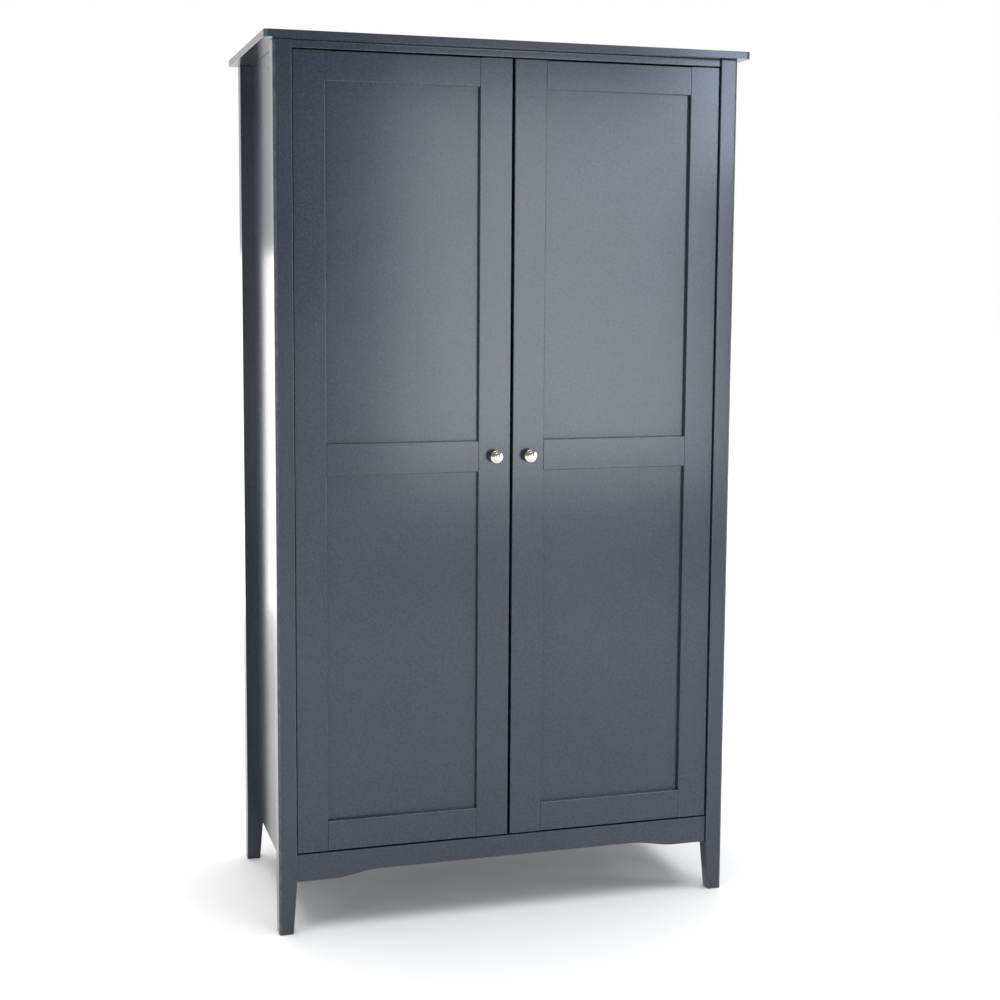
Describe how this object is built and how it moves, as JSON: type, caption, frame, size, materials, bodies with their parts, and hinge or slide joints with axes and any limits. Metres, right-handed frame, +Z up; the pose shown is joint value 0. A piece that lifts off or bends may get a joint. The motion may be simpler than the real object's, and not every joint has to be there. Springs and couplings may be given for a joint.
{
  "type": "wardrobe with doors",
  "caption": "Tall painted wardrobe on tapered legs, with a thin overhanging top, framed doors inset between square posts, round knobs, a hat shelf and a hanging rail.",
  "frame": {"origin": "on the floor, under the middle of the top board", "axes": "+Z up, +X to the right-hand side seen from the front, so the front with the doors faces -Y"},
  "size_m": [1.04, 0.522, 1.85],
  "materials": {
    "painted_wood": "satin slate blue-grey paint",
    "back_board": "matt painted hardboard",
    "chrome": "polished",
    "plated_steel": "bright plated",
    "plastic": "moulded"
  },
  "bodies": {
    "carcass": {"top_board": "painted_wood", "front_post_left": "painted_wood", "front_post_right": "painted_wood", "rear_post_left": "painted_wood", "rear_post_right": "painted_wood", "side_panel_left": "painted_wood", "side_panel_right": "painted_wood", "front_top_rail": "painted_wood", "front_apron": "painted_wood", "rear_top_rail": "painted_wood", "rear_bottom_rail": "painted_wood", "floor_panel": "painted_wood", "back_panel_left": "back_board", "back_panel_right": "back_board", "back_joint_strip": "plastic", "hat_shelf": "painted_wood", "shelf_batten_left": "painted_wood", "shelf_batten_right": "painted_wood", "hanging_rail": "chrome", "rail_socket_left": "chrome", "rail_socket_right": "chrome", "hinge_arm_left_lower": "plated_steel", "hinge_arm_left_middle": "plated_steel", "hinge_arm_left_upper": "plated_steel", "hinge_arm_right_lower": "plated_steel", "hinge_arm_right_middle": "plated_steel", "hinge_arm_right_upper": "plated_steel", "door_catch_left": "plastic", "door_catch_right": "plastic"},
    "left_door": {"left_hinge_stile": "painted_wood", "left_lock_stile": "painted_wood", "left_top_rail": "painted_wood", "left_mid_rail": "painted_wood", "left_bottom_rail": "painted_wood", "left_upper_panel": "painted_wood", "left_lower_panel": "painted_wood", "left_knob": "chrome", "left_knob_screw": "plated_steel", "left_hinge_cup_lower": "plated_steel", "left_hinge_cup_middle": "plated_steel", "left_hinge_cup_upper": "plated_steel", "left_strike_plate": "plated_steel"},
    "right_door": {"right_hinge_stile": "painted_wood", "right_lock_stile": "painted_wood", "right_top_rail": "painted_wood", "right_mid_rail": "painted_wood", "right_bottom_rail": "painted_wood", "right_upper_panel": "painted_wood", "right_lower_panel": "painted_wood", "right_knob": "chrome", "right_knob_screw": "plated_steel", "right_hinge_cup_lower": "plated_steel", "right_hinge_cup_middle": "plated_steel", "right_hinge_cup_upper": "plated_steel", "right_strike_plate": "plated_steel"}
  },
  "joints": [
    {"name": "left_door_hinge", "type": "hinge", "parent": "carcass", "child": "left_door", "pos_m": [-0.46, -0.233, 0.994], "axis": [0, 0, -1], "range_deg": [0, 100]},
    {"name": "right_door_hinge", "type": "hinge", "parent": "carcass", "child": "right_door", "pos_m": [0.46, -0.233, 0.994], "axis": [0, 0, 1], "range_deg": [0, 100]}
  ]
}
